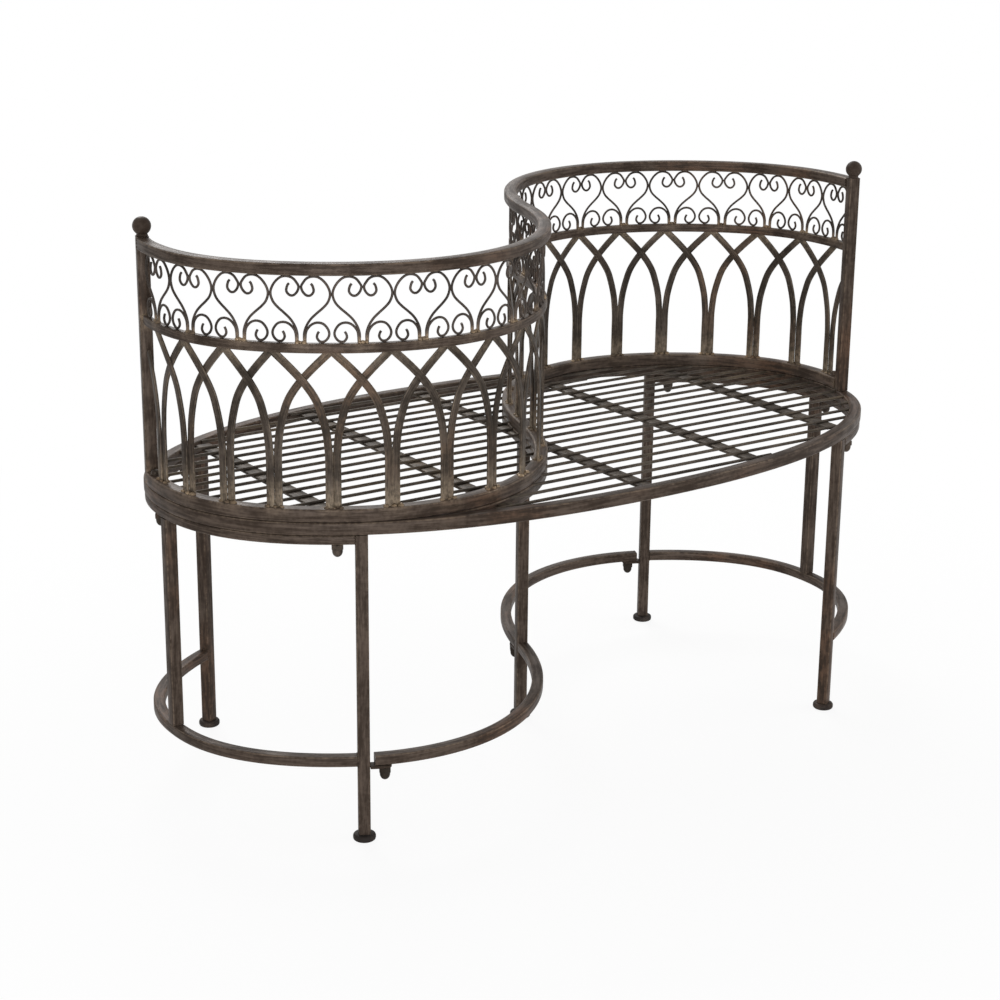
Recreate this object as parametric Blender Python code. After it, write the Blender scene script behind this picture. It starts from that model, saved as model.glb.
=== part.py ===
import math
import bmesh
import bpy
import numpy as np
from mathutils import Vector

for item in list(bpy.data.objects):
    bpy.data.objects.remove(item, do_unlink=True)

# Driving dimensions, in metres
GAP = 0.0003
OVAL_HALF_LENGTH = 0.5575
OVAL_HALF_DEPTH = 0.2985
OVAL_POWER = 2.2
TURN_START_INSET = 0.1335
TURN_START_REACH = 0.192
TURN_END_REACH = 0.233
TURN_END_ANGLE = math.radians(74.0)
POST_Y = 0.064

SEAT_UNDERSIDE = 0.420
RING_WIDTH = 0.018
RING_HEIGHT = 0.017
BOTTOM_RAIL_WIDTH = 0.018
BOTTOM_RAIL_HEIGHT = 0.017
MID_RAIL_WIDTH = 0.010
MID_RAIL_HEIGHT = 0.012
MID_RAIL_Z = 0.6575
TOP_RAIL_WIDTH = 0.018
TOP_RAIL_HEIGHT = 0.015
TOP_RAIL_Z = 0.755
POST_SIDE = 0.016
POST_PROUD = 0.001
FINIAL_RADIUS = 0.012
FINIAL_NECK = 0.0005
FINIAL_FOOT_RADIUS = 0.0078
FINIAL_FOOT_HEIGHT = 0.0014

LEG_SIDE = 0.016
LEG_INSET = 0.1575
FOOT_RADIUS = 0.015
FOOT_HEIGHT = 0.009
ARC_WIDTH = 0.016
ARC_HEIGHT = 0.012
STRETCHER_WIDTH = 0.016
STRETCHER_HEIGHT = 0.014
STRETCHER_Z = 0.1127
STRETCHER_END_GAP = 0.006
TAB_LENGTH = 0.028
TAB_WIDTH = 0.015
TAB_THICKNESS = 0.004
NUT_RADIUS = 0.0085
NUT_BODY = 0.007
NUT_DOME_RADIUS = 0.007
NUT_HEIGHT = 0.0175
TAB_BOLT_OFFSET = 0.019
BOLT_RADIUS = 0.0065
BOLT_HEIGHT = 0.0070
BOLT_FROM_POST = 0.023
NUT_FROM_NEAR_LEG = 0.030
NUT_FROM_END_LEG = 0.024
NUT_FROM_FAR_LEG = 0.040

DIVIDER_TRIM = 0.004
ROD_RADIUS = 0.0022
ROD_MARGIN = 0.0213
ROD_COUNT = 19
STRAP_WIDTH = 0.022
STRAP_THICKNESS = 0.004
STRAP_SINK = 0.0006
STRAP_INSET = 0.1515
STRAP_COUNT = 5

FRIEZE_START = 0.0085
HEART_PITCH = 0.0755
WIDE_HEART_PITCH = 0.0782
WIRE_RADIUS = 0.0018
WIRE_OVERLAP = 0.0005
ARCH_START = 0.054
ARCH_END = 0.0405
CLOSE_ARCH_PITCH = 0.0635
CLOSE_ARCH_COUNT = 3
ARCH_PITCH = 0.0735
STRIP_WIDTH = 0.010
STRIP_THICKNESS = 0.003
STRIP_LAP = 0.0003
STRIP_SLIT = 0.0005

TURN_START_X = -(OVAL_HALF_LENGTH - TURN_START_INSET)
LEG_X = -(OVAL_HALF_LENGTH - LEG_INSET)
RING_TOP = SEAT_UNDERSIDE + RING_HEIGHT
BOTTOM_RAIL_Z = RING_TOP + GAP + BOTTOM_RAIL_HEIGHT / 2
ARC_Z = SEAT_UNDERSIDE - GAP - ARC_HEIGHT / 2
POST_BASE = RING_TOP + GAP
POST_TOP = TOP_RAIL_Z + TOP_RAIL_HEIGHT / 2 + POST_PROUD
ROD_Z = RING_TOP - ROD_RADIUS
STRAP_TOP = ROD_Z - ROD_RADIUS + STRAP_SINK


def material(name, colour, roughness, metallic):
    made = bpy.data.materials.new(name)
    made.use_nodes = True
    shader = made.node_tree.nodes["Principled BSDF"]
    shader.inputs["Base Color"].default_value = (*colour, 1.0)
    shader.inputs["Roughness"].default_value = roughness
    shader.inputs["Metallic"].default_value = metallic
    return made


BAR_METAL = material("brown_bar_metal", (0.060, 0.044, 0.034), 0.48, 0.35)
SCROLL_METAL = material("brown_scroll_metal", (0.048, 0.038, 0.030), 0.50, 0.35)
SEAT_METAL = material("brown_seat_metal", (0.055, 0.046, 0.038), 0.50, 0.35)
FASTENER_METAL = material("dark_fastener_metal", (0.030, 0.026, 0.024), 0.45, 0.50)
FOOT_METAL = material("dark_foot_metal", (0.036, 0.031, 0.028), 0.55, 0.20)


def oval_y(x):
    return OVAL_HALF_DEPTH * (1 - abs(x / OVAL_HALF_LENGTH) ** OVAL_POWER) ** (1 / OVAL_POWER)


class Path:
    # A plan curve read by distance along it
    def __init__(self, points):
        self.points = np.array(points, float)
        steps = np.linalg.norm(np.diff(self.points, axis=0), axis=1)
        self.along = np.concatenate([[0.0], np.cumsum(steps)])
        self.length = self.along[-1]

    def at(self, distance):
        x = np.interp(distance, self.along, self.points[:, 0])
        y = np.interp(distance, self.along, self.points[:, 1])
        return Vector((x, y, 0.0))

    def tangent(self, distance):
        back = max(distance - 0.0015, 0.0)
        ahead = min(distance + 0.0015, self.length)
        return (self.at(ahead) - self.at(back)).normalized()

    def side(self, distance):
        tangent = self.tangent(distance)
        return Vector((tangent.y, -tangent.x, 0.0))

    def nearest(self, point):
        gaps = np.hypot(self.points[:, 0] - point[0], self.points[:, 1] - point[1])
        return self.along[gaps.argmin()]


def oval_points(start, stop, count):
    found = []
    for angle in np.linspace(start, stop, count):
        c = math.cos(angle)
        s = math.sin(angle)
        x = OVAL_HALF_LENGTH * math.copysign(abs(c) ** (2 / OVAL_POWER), c)
        y = OVAL_HALF_DEPTH * math.copysign(abs(s) ** (2 / OVAL_POWER), s)
        found.append((x, y))
    return found


def s_half():
    # From the centre out along the turn, then along the oval to the left post
    start = Vector((TURN_START_X, -oval_y(TURN_START_X)))
    near = Vector((TURN_START_X - 0.0005, -oval_y(TURN_START_X - 0.0005)))
    start_way = (start - near).normalized()
    end_way = Vector((math.cos(TURN_END_ANGLE), math.sin(TURN_END_ANGLE)))
    one = start + start_way * TURN_START_REACH
    two = -end_way * TURN_END_REACH
    found = []
    for t in np.linspace(1.0, 0.0, 500):
        a = (1 - t) ** 3
        b = 3 * (1 - t) ** 2 * t
        c = 3 * (1 - t) * t ** 2
        point = start * a + one * b + two * c
        found.append((point.x, point.y))
    for x, y in oval_points(math.pi * 1.5, math.pi * 0.5, 4000):
        if x < TURN_START_X - 0.0004 and y < POST_Y:
            found.append((x, y))
    return Path(found)


BACK = s_half()
OVAL = Path(oval_points(math.pi * 0.5, math.pi * 2.5, 6001))
# The whole S, from the left post to the right post
WHOLE = Path([(x, y) for x, y in BACK.points[::-1]] + [(-x, -y) for x, y in BACK.points[1:]])


def finish(name, made, metal):
    bmesh.ops.recalc_face_normals(made, faces=made.faces)
    data = bpy.data.meshes.new(name)
    made.to_mesh(data)
    made.free()
    data.materials.append(metal)
    item = bpy.data.objects.new(name, data)
    bpy.context.scene.collection.objects.link(item)
    return item


def skin(rings, closed=False):
    # Joins matching rings of points into one closed skin
    made = bmesh.new()
    rows = [[made.verts.new(point) for point in ring] for ring in rings]
    count = len(rows[0])
    last = len(rows) if closed else len(rows) - 1
    for i in range(last):
        low = rows[i]
        high = rows[(i + 1) % len(rows)]
        for j in range(count):
            k = (j + 1) % count
            made.faces.new((low[j], low[k], high[k], high[j]))
    if not closed:
        made.faces.new(rows[0])
        made.faces.new(rows[-1])
    return made


def bar_ring(centre, side, width, height):
    up = Vector((0.0, 0.0, height / 2))
    out = side * (width / 2)
    return [centre + out + up, centre - out + up, centre - out - up, centre + out - up]


def turned(item, name):
    # The same piece after half a turn about the vertical
    copy = bpy.data.objects.new(name, item.data.copy())
    bpy.context.scene.collection.objects.link(copy)
    copy.rotation_euler = (0.0, 0.0, math.pi)
    return copy


def rail(name, path, start, stop, z, width, height, metal, steps, first=None, last=None):
    # A bar along a plan curve; first and last are frames of the faces it butts against
    rings = []
    for i, distance in enumerate(np.linspace(start, stop, steps + 1)):
        centre = path.at(distance)
        side = path.side(distance)
        if i == 0 and first:
            centre, side = first
        if i == steps and last:
            centre, side = last
        rings.append(bar_ring(Vector((centre.x, centre.y, z)), side, width, height))
    return finish(name, skin(rings), metal)


def butt(path, distance, way, half):
    # The frame just clear of a square piece that stands on the path at this distance
    tangent = path.tangent(distance)
    centre = path.at(distance) + tangent * (way * (half + GAP))
    return centre, path.side(distance)


def upright(name, path, distance, side, low, high, metal):
    tangent = path.tangent(distance)
    across = path.side(distance)
    centre = path.at(distance)
    rings = []
    for z in (low, high):
        middle = Vector((centre.x, centre.y, z))
        rings.append([
            middle + tangent * side / 2 + across * side / 2,
            middle - tangent * side / 2 + across * side / 2,
            middle - tangent * side / 2 - across * side / 2,
            middle + tangent * side / 2 - across * side / 2,
        ])
    return finish(name, skin(rings), metal)


def lathe(name, centre, profile, sides, metal):
    # Turns a profile of (radius, height) pairs, which starts and ends on a flat or a point
    made = bmesh.new()
    rows = []
    for radius, height in profile:
        if radius == 0.0:
            rows.append([made.verts.new(centre + Vector((0.0, 0.0, height)))])
            continue
        row = []
        for i in range(sides):
            angle = 2 * math.pi * i / sides
            point = Vector((radius * math.cos(angle), radius * math.sin(angle), height))
            row.append(made.verts.new(centre + point))
        rows.append(row)
    for low, high in zip(rows, rows[1:]):
        for j in range(sides):
            k = (j + 1) % sides
            if len(low) == 1:
                made.faces.new((low[0], high[k], high[j]))
            elif len(high) == 1:
                made.faces.new((low[j], low[k], high[0]))
            else:
                made.faces.new((low[j], low[k], high[k], high[j]))
    for row in (rows[0], rows[-1]):
        if len(row) > 1:
            made.faces.new(row)
    return finish(name, made, metal)


def joined(name, pieces):
    # One body from many overlapping pieces
    first = pieces[0]
    first.name = name
    group = bpy.data.collections.new(name + "_pieces")
    for piece in pieces[1:]:
        group.objects.link(piece)
        bpy.context.scene.collection.objects.unlink(piece)
        piece.hide_render = True
        piece.display_type = "WIRE"
    union = first.modifiers.new("weld", "BOOLEAN")
    union.operation = "UNION"
    union.operand_type = "COLLECTION"
    union.collection = group
    union.solver = "EXACT"
    bpy.context.view_layer.update()
    graph = bpy.context.evaluated_depsgraph_get()
    data = bpy.data.meshes.new_from_object(first.evaluated_get(graph))
    first.modifiers.remove(union)
    old = first.data
    first.data = data
    bpy.data.meshes.remove(old)
    for piece in list(group.objects):
        bpy.data.objects.remove(piece, do_unlink=True)
    bpy.data.collections.remove(group)
    return first


# Back: posts, finials and rails
HALF_LENGTH = BACK.length
POST_HALF = POST_SIDE / 2
post_frame = butt(BACK, HALF_LENGTH, -1, POST_HALF)
centre_frame = (BACK.at(0.0) + BACK.tangent(0.0) * (GAP / 2), BACK.side(0.0))
left_post = upright("left_post", BACK, HALF_LENGTH, POST_SIDE, POST_BASE, POST_TOP, BAR_METAL)
turned(left_post, "right_post")

ball_centre = FINIAL_RADIUS + FINIAL_NECK
ball = [(FINIAL_RADIUS * math.sin(a), ball_centre - FINIAL_RADIUS * math.cos(a))
        for a in np.linspace(math.radians(36), math.radians(180), 8)]
finial_profile = [(FINIAL_FOOT_RADIUS, 0.0), (FINIAL_FOOT_RADIUS * 0.92, FINIAL_FOOT_HEIGHT)] + ball[:-1]
finial_profile.append((0.0, ball_centre + FINIAL_RADIUS))
finial_at = BACK.at(HALF_LENGTH) + Vector((0.0, 0.0, POST_TOP + GAP))
left_finial = lathe("left_finial", finial_at, finial_profile, 16, BAR_METAL)
turned(left_finial, "right_finial")

for level, z, width, height in (
    ("top", TOP_RAIL_Z, TOP_RAIL_WIDTH, TOP_RAIL_HEIGHT),
    ("mid", MID_RAIL_Z, MID_RAIL_WIDTH, MID_RAIL_HEIGHT),
    ("bottom", BOTTOM_RAIL_Z, BOTTOM_RAIL_WIDTH, BOTTOM_RAIL_HEIGHT),
):
    left = rail("left_%s_rail" % level, BACK, 0.0, HALF_LENGTH - POST_HALF - GAP, z, width, height,
                BAR_METAL, 32, centre_frame, post_frame)
    turned(left, "right_%s_rail" % level)


# Scroll frieze: hearts of round wire on the curved face of the back
FRIEZE_LOW = MID_RAIL_Z + MID_RAIL_HEIGHT / 2 + GAP
FRIEZE_HIGH = TOP_RAIL_Z - TOP_RAIL_HEIGHT / 2 - GAP
POST_CLEAR = POST_HALF + GAP
# Where one heart meets the next: an even run, then a wider one, then three that fill up to the post
heart_ends = [POST_CLEAR + FRIEZE_START]
left_hearts = round((HALF_LENGTH - heart_ends[0]) / HEART_PITCH)
for k in range(left_hearts):
    heart_ends.append(heart_ends[-1] + HEART_PITCH)
frieze_stop = WHOLE.length - POST_CLEAR
for k in range(int((frieze_stop - heart_ends[-1]) / WIDE_HEART_PITCH - 2)):
    heart_ends.append(heart_ends[-1] + WIDE_HEART_PITCH)
heart_ends.extend(np.linspace(heart_ends[-1], frieze_stop, 4)[1:])


def smooth(points, places):
    # Points on a curve through the given points, read at fractional places
    found = []
    count = len(points)
    for place in places:
        i = min(int(place), count - 2)
        t = place - i
        p = [Vector(points[max(0, min(count - 1, i + k))]) for k in (-1, 0, 1, 2)]
        point = 0.5 * (
            2 * p[1]
            + (p[2] - p[0]) * t
            + (2 * p[0] - 5 * p[1] + 4 * p[2] - p[3]) * t ** 2
            + (3 * p[1] - p[0] - 3 * p[2] + p[3]) * t ** 3
        )
        found.append((point.x, point.y))
    return found


# Half a heart, as share of the pitch and of the frieze height, from the base up and round
HEART_LINE = [
    (0.050, 0.00), (0.046, 0.115), (0.085, 0.235), (0.162, 0.345), (0.265, 0.435), (0.375, 0.52),
    (0.458, 0.605), (0.500, 0.715), (0.480, 0.815), (0.410, 0.915), (0.313, 0.985), (0.208, 1.00),
    (0.107, 0.970), (0.040, 0.900), (0.010, 0.840), (0.037, 0.765), (0.102, 0.710), (0.173, 0.715),
    (0.222, 0.775), (0.205, 0.855), (0.175, 0.890),
]
HEART_PLACES = (0, 1.3, 2.7, 4.2, 5.7, 7, 8.4, 9.8, 11.4, 13, 14, 15.5, 17, 18.4, 20)
# Lower curl beside the base
CURL_LINE = [
    (0.064, 0.00), (0.076, 0.135), (0.130, 0.225), (0.209, 0.280), (0.298, 0.295), (0.386, 0.270),
    (0.453, 0.200), (0.477, 0.125), (0.453, 0.055), (0.390, 0.005), (0.315, 0.005), (0.268, 0.060),
    (0.275, 0.115), (0.300, 0.155),
]
CURL_PLACES = (0, 1.3, 2.7, 4.2, 5.7, 7, 8.4, 9.8, 11.2, 13)


def wire(name, base, width, line, places, way, size, reach):
    half = size * WIRE_RADIUS * 0.886
    low = FRIEZE_LOW + half
    high = FRIEZE_HIGH - half
    track = []
    for u, v in smooth(line, places):
        inward = max(min(u * width, reach), WIRE_RADIUS - WIRE_OVERLAP)
        track.append((base + way * inward, low + v * (high - low)))
    rings = []
    for i, (s, z) in enumerate(track):
        before = track[max(i - 1, 0)]
        after = track[min(i + 1, len(track) - 1)]
        flow = Vector((after[0] - before[0], after[1] - before[1])).normalized()
        across = Vector((-flow.y, flow.x))
        if i == 0:
            across = Vector((-1.0, 0.0))
        centre = WHOLE.at(s)
        centre.z = z
        out = WHOLE.side(s) * half
        up = WHOLE.tangent(s) * (across.x * half) + Vector((0.0, 0.0, across.y * half))
        rings.append([centre + out + up, centre - out + up, centre - out - up, centre + out - up])
    return finish(name, skin(rings), SCROLL_METAL)


def frieze(name, first, last):
    # A run of hearts that touch each other and stay clear of what lies past either end
    wires = []
    for k in range(first, last):
        base = (heart_ends[k] + heart_ends[k + 1]) / 2
        width = heart_ends[k + 1] - heart_ends[k]
        for way, heart_size, curl_size in ((1, 1.00, 0.92), (-1, 0.96, 0.88)):
            ends = k == (last - 1 if way == 1 else first)
            reach = width / 2 - WIRE_RADIUS + (-GAP if ends else WIRE_OVERLAP)
            wires.append(wire("heart", base, width, HEART_LINE, HEART_PLACES, way, heart_size, reach))
            wires.append(wire("curl", base, width, CURL_LINE, CURL_PLACES, way, curl_size, reach))
    return joined(name, wires)


frieze("left_scroll_frieze", 0, left_hearts)
frieze("right_scroll_frieze", left_hearts, len(heart_ends) - 1)


# Arch lattice: flat strips that rise in pairs and cross their neighbours
LATTICE_LOW = BOTTOM_RAIL_Z + BOTTOM_RAIL_HEIGHT / 2 + GAP
LATTICE_HIGH = MID_RAIL_Z - MID_RAIL_HEIGHT / 2 - GAP
# Where the pairs of strips stand: a few close ones by the left post, then an even run to the right post
arch_bases = [ARCH_START + CLOSE_ARCH_PITCH * k for k in range(CLOSE_ARCH_COUNT + 1)]
arch_stop = WHOLE.length - ARCH_END
arch_steps = round((arch_stop - arch_bases[-1]) / ARCH_PITCH)
arch_bases.extend(np.linspace(arch_bases[-1], arch_stop, arch_steps + 1)[1:])
middle_arch = min(range(len(arch_bases)), key=lambda k: abs(arch_bases[k] - HALF_LENGTH))
STRIP_LINE = [
    (0.00, 0.00), (0.00, 0.33), (0.047, 0.50), (0.115, 0.60),
    (0.215, 0.70), (0.40, 0.80), (0.655, 0.90), (0.95, 1.00),
]
STRIP_PLACES = (0, 1, 2, 3, 4, 5, 6, 7)


def strip(name, base, span, way, slit, low_end, high_end):
    offset = STRIP_WIDTH / 2 + slit
    # The strips that rise to the right pass behind the others
    layer = -way * (STRIP_THICKNESS / 2 - STRIP_LAP)
    near_post = POST_CLEAR + STRIP_WIDTH * 0.62
    track = []
    for u, v in smooth(STRIP_LINE, STRIP_PLACES):
        s = base + way * (offset + u * (span - offset))
        track.append((s, LATTICE_LOW + v * (LATTICE_HIGH - LATTICE_LOW)))
    # A strip that rises towards a post stops short of it
    limit = WHOLE.length - near_post if way == 1 else near_post
    cut = [point for point in track if way * (limit - point[0]) >= 0]
    if len(cut) < len(track):
        inside = cut[-1]
        outside = track[len(cut)]
        share = (limit - inside[0]) / (outside[0] - inside[0])
        if share > 0.15:
            cut.append((limit, inside[1] + share * (outside[1] - inside[1])))
    rings = []
    for i, (s, z) in enumerate(cut):
        before = cut[max(i - 1, 0)]
        after = cut[min(i + 1, len(cut) - 1)]
        flow = Vector((after[0] - before[0], after[1] - before[1])).normalized()
        across = Vector((-flow.y, flow.x)) * (STRIP_WIDTH / 2)
        if i == 0 or (i == len(cut) - 1 and len(cut) == len(track)):
            across = Vector((-STRIP_WIDTH / 2 / flow.y, 0.0))
        corners = []
        for lean, depth in ((1, 1), (-1, 1), (-1, -1), (1, -1)):
            place = min(max(s + lean * across.x, low_end), high_end)
            point = WHOLE.at(place) + WHOLE.side(place) * (layer + depth * STRIP_THICKNESS / 2)
            point.z = z + lean * across.y
            corners.append(point)
        rings.append(corners)
    return finish(name, skin(rings), BAR_METAL)


def lattice(name, first, last, low_end, high_end):
    # The strips that rise right from each base but the last, and left from each base but the first
    strips = []
    end = len(arch_bases) - 1
    for k in range(first, last + 1):
        base = arch_bases[k]
        right_span = arch_bases[k + 1] - base if k < end else ARCH_PITCH
        left_span = base - arch_bases[k - 1] if k > 0 else ARCH_PITCH
        # A strip that stops at a post before it meets another is welded to its pair
        outer = k in (0, end)
        slit = -STRIP_SLIT if outer else STRIP_SLIT
        if k < last or outer:
            strips.append(strip("strip", base, right_span, 1, slit, low_end, high_end))
        if k > first or outer:
            strips.append(strip("strip", base, left_span, -1, slit, low_end, high_end))
    return joined(name, strips)


arch_split = arch_bases[middle_arch]
lattice("left_arch_lattice", 0, middle_arch, POST_CLEAR, arch_split - GAP / 2)
lattice("right_arch_lattice", middle_arch, len(arch_bases) - 1, arch_split + GAP / 2,
        WHOLE.length - POST_CLEAR)


# Seat ring, and the line just inside it that the pieces of the seat stop at
RING_STEPS = 84
ring_rows = []
seat_edge = []
for i in range(RING_STEPS):
    distance = OVAL.length * i / RING_STEPS
    side = OVAL.side(distance)
    centre = OVAL.at(distance)
    middle = Vector((centre.x, centre.y, SEAT_UNDERSIDE + RING_HEIGHT / 2))
    ring_rows.append(bar_ring(middle, side, RING_WIDTH, RING_HEIGHT))
    inset = side * (RING_WIDTH / 2 + GAP)
    seat_edge.append(min((centre + inset, centre - inset), key=lambda p: p.length))
seat_edge.append(seat_edge[0])
finish("seat_ring", skin(ring_rows, True), BAR_METAL)


def room(point, way, line):
    # The distance from a plan point, along a way, to the first crossing of a line
    found = []
    for a, b in zip(line, line[1:]):
        step = b - a
        to = a - point
        slant = way.x * step.y - way.y * step.x
        if abs(slant) < 1e-12:
            continue
        share = (to.x * way.y - to.y * way.x) / slant
        ahead = (to.x * step.y - to.y * step.x) / slant
        if ahead > 0 and 0 <= share <= 1:
            found.append(ahead)
    return min(found, default=math.inf)


# Seat divider: the bar under the bottom rail where the S crosses the seat, its ends cut to fit the ring
divider_reach = 0.0
while True:
    further = HALF_LENGTH - divider_reach - 0.001
    if room(WHOLE.at(further), WHOLE.side(further), seat_edge) < RING_WIDTH / 2 - DIVIDER_TRIM:
        break
    divider_reach += 0.001
divider_rows = []
left_line = []
right_line = []
for distance in np.linspace(HALF_LENGTH - divider_reach, HALF_LENGTH + divider_reach, 45):
    centre = WHOLE.at(distance)
    side = WHOLE.side(distance)
    ahead = min(RING_WIDTH / 2, room(centre, side, seat_edge))
    behind = min(RING_WIDTH / 2, room(centre, -side, seat_edge))
    middle = centre + side * ((ahead - behind) / 2)
    middle.z = SEAT_UNDERSIDE + RING_HEIGHT / 2
    divider_rows.append(bar_ring(middle, side, ahead + behind, RING_HEIGHT))
    left_line.append(centre - side * (behind + GAP))
    right_line.append(centre + side * (ahead + GAP))
divider_edge = left_line + right_line[::-1] + left_line[:1]
finish("seat_divider", skin(divider_rows), BAR_METAL)

# Seat grilles: cross straps and rods between the ring and the divider
TO_LEFT = Vector((-1.0, 0.0, 0.0))
TO_FAR = Vector((0.0, 1.0, 0.0))
grille = []
strap_ends = []
strap_reach = OVAL_HALF_LENGTH - STRAP_INSET
rod_reach = OVAL_HALF_DEPTH - RING_WIDTH / 2 - ROD_MARGIN
for x in np.linspace(-strap_reach, strap_reach, STRAP_COUNT):
    if x > STRAP_WIDTH:
        continue
    rings = []
    for place in np.linspace(x - STRAP_WIDTH / 2, x + STRAP_WIDTH / 2, 7):
        far = room(Vector((place, 0.0, 0.0)), TO_FAR, seat_edge)
        start = Vector((place, far - GAP, 0.0))
        near = start.y - min(room(start, -TO_FAR, divider_edge), room(start, -TO_FAR, seat_edge))
        rings.append([
            Vector((place, near, STRAP_TOP)), Vector((place, far, STRAP_TOP)),
            Vector((place, far, STRAP_TOP - STRAP_THICKNESS)),
            Vector((place, near, STRAP_TOP - STRAP_THICKNESS)),
        ])
    strap_ends.append(rings[len(rings) // 2][0].y)
    grille.append(finish("strap", skin(rings), SEAT_METAL))
# Every rod lies on a strap, so the nearest rod stops at the strap that reaches furthest
nearest_rod = min(strap_ends) + ROD_RADIUS
for y in np.linspace(-rod_reach, rod_reach, ROD_COUNT):
    if y < nearest_rod:
        continue
    lows = []
    highs = []
    for level in (y - ROD_RADIUS, y, y + ROD_RADIUS):
        low = -room(Vector((0.0, level, 0.0)), TO_LEFT, seat_edge)
        start = Vector((low + GAP, level, 0.0))
        lows.append(low)
        highs.append(start.x + min(room(start, -TO_LEFT, divider_edge), room(start, -TO_LEFT, seat_edge)))
    rings = []
    for x in (max(lows), min(highs)):
        row = []
        for k in range(6):
            angle = math.radians(30 + 60 * k)
            row.append(Vector((x, y + ROD_RADIUS * math.cos(angle), ROD_Z + ROD_RADIUS * math.sin(angle))))
        rings.append(row)
    grille.append(finish("rod", skin(rings), SEAT_METAL))
left_grille = joined("left_seat_grille", grille)
turned(left_grille, "right_seat_grille")


# Under-frame: legs on the oval, arcs and stretchers between them
LEG_HALF = LEG_SIDE / 2
place_a = OVAL.nearest((-OVAL_HALF_LENGTH, 0.0))
place_b = OVAL.nearest((LEG_X, oval_y(LEG_X)))
place_c = OVAL.nearest((LEG_X, -oval_y(LEG_X)))
back_c = BACK.nearest((LEG_X, -oval_y(LEG_X)))
leg_low = FOOT_HEIGHT + GAP
leg_high = SEAT_UNDERSIDE - GAP
stretcher_top = STRETCHER_Z + STRETCHER_HEIGHT / 2
arc_under = ARC_Z - ARC_HEIGHT / 2

end_leg = upright("left_end_leg", OVAL, place_a, LEG_SIDE, stretcher_top + GAP, arc_under - GAP, BAR_METAL)
turned(end_leg, "right_end_leg")
far_leg = upright("left_far_leg", OVAL, place_b, LEG_SIDE, leg_low, leg_high, BAR_METAL)
turned(far_leg, "right_near_leg")
near_leg = upright("left_near_leg", OVAL, place_c, LEG_SIDE, leg_low, leg_high, BAR_METAL)
turned(near_leg, "right_far_leg")
upright("centre_leg", BACK, 0.0, LEG_SIDE, leg_low, leg_high, BAR_METAL)

foot_profile = [
    (FOOT_RADIUS * 0.86, 0.0), (FOOT_RADIUS, FOOT_HEIGHT * 0.28),
    (FOOT_RADIUS, FOOT_HEIGHT * 0.66), (FOOT_RADIUS * 0.82, FOOT_HEIGHT),
]
left_far_foot = lathe("left_far_foot", OVAL.at(place_b), foot_profile, 14, FOOT_METAL)
turned(left_far_foot, "right_near_foot")
left_near_foot = lathe("left_near_foot", OVAL.at(place_c), foot_profile, 14, FOOT_METAL)
turned(left_near_foot, "right_far_foot")
lathe("centre_foot", Vector((0.0, 0.0, 0.0)), foot_profile, 14, FOOT_METAL)

frame_first = butt(OVAL, place_b, 1, LEG_HALF)
frame_last = butt(OVAL, place_c, -1, LEG_HALF)
frame_start = place_b + LEG_HALF + GAP
frame_stop = place_c - LEG_HALF - GAP
for name, z, width, height in (
    ("end_frame_arc", ARC_Z, ARC_WIDTH, ARC_HEIGHT),
    ("end_stretcher", STRETCHER_Z, STRETCHER_WIDTH, STRETCHER_HEIGHT),
):
    left = rail("left_" + name, OVAL, frame_start, frame_stop, z, width, height,
                BAR_METAL, 24, frame_first, frame_last)
    turned(left, "right_" + name)

near_first = butt(BACK, 0.0, 1, LEG_HALF)
near_half = rail("near_centre_stretcher", BACK, LEG_HALF + GAP, back_c - LEG_HALF - STRETCHER_END_GAP,
                 STRETCHER_Z, STRETCHER_WIDTH, STRETCHER_HEIGHT, BAR_METAL, 18, near_first)
turned(near_half, "far_centre_stretcher")


# Fasteners
TAB_Z = STRETCHER_Z - STRETCHER_HEIGHT / 2 - GAP - TAB_THICKNESS / 2
NUT_PROFILE = [
    (0.0, -NUT_HEIGHT), (NUT_DOME_RADIUS * 0.55, -NUT_HEIGHT * 0.94),
    (NUT_DOME_RADIUS * 0.88, -NUT_HEIGHT * 0.76), (NUT_DOME_RADIUS, -NUT_HEIGHT * 0.55),
    (NUT_DOME_RADIUS, -NUT_BODY), (NUT_RADIUS, -NUT_BODY), (NUT_RADIUS, 0.0),
]


def dome_nut(name, point, top):
    return lathe(name, Vector((point.x, point.y, top)), NUT_PROFILE, 12, FASTENER_METAL)


def tab(name, distance, way):
    first = butt(BACK, distance, way, LEG_HALF)
    tangent = BACK.tangent(distance)
    last = (first[0] + tangent * (way * TAB_LENGTH), first[1])
    rings = []
    for centre, side in (first, last):
        rings.append(bar_ring(Vector((centre.x, centre.y, TAB_Z)), side, TAB_WIDTH, TAB_THICKNESS))
    made = finish(name, skin(rings), BAR_METAL)
    middle = first[0] + tangent * (way * TAB_BOLT_OFFSET)
    return made, middle


tab_under = TAB_Z - TAB_THICKNESS / 2 - GAP
near_tab, near_bolt = tab("near_leg_tab", back_c, -1)
turned(near_tab, "far_leg_tab")
turned(dome_nut("near_tab_nut", near_bolt, tab_under), "far_tab_nut")
centre_tab, centre_bolt = tab("centre_leg_tab", 0.0, 1)
centre_tab.rotation_euler = (0.0, 0.0, math.pi)
dome_nut("centre_tab_nut", -centre_bolt, tab_under)

for name, other, place in (
    ("left_near_seat_nut", "right_far_seat_nut", place_c - NUT_FROM_NEAR_LEG),
    ("left_end_seat_nut", "right_end_seat_nut", place_a - NUT_FROM_END_LEG),
    ("left_far_seat_nut", "right_near_seat_nut", place_b + NUT_FROM_FAR_LEG),
):
    turned(dome_nut(name, OVAL.at(place), arc_under - GAP), other)

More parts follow.
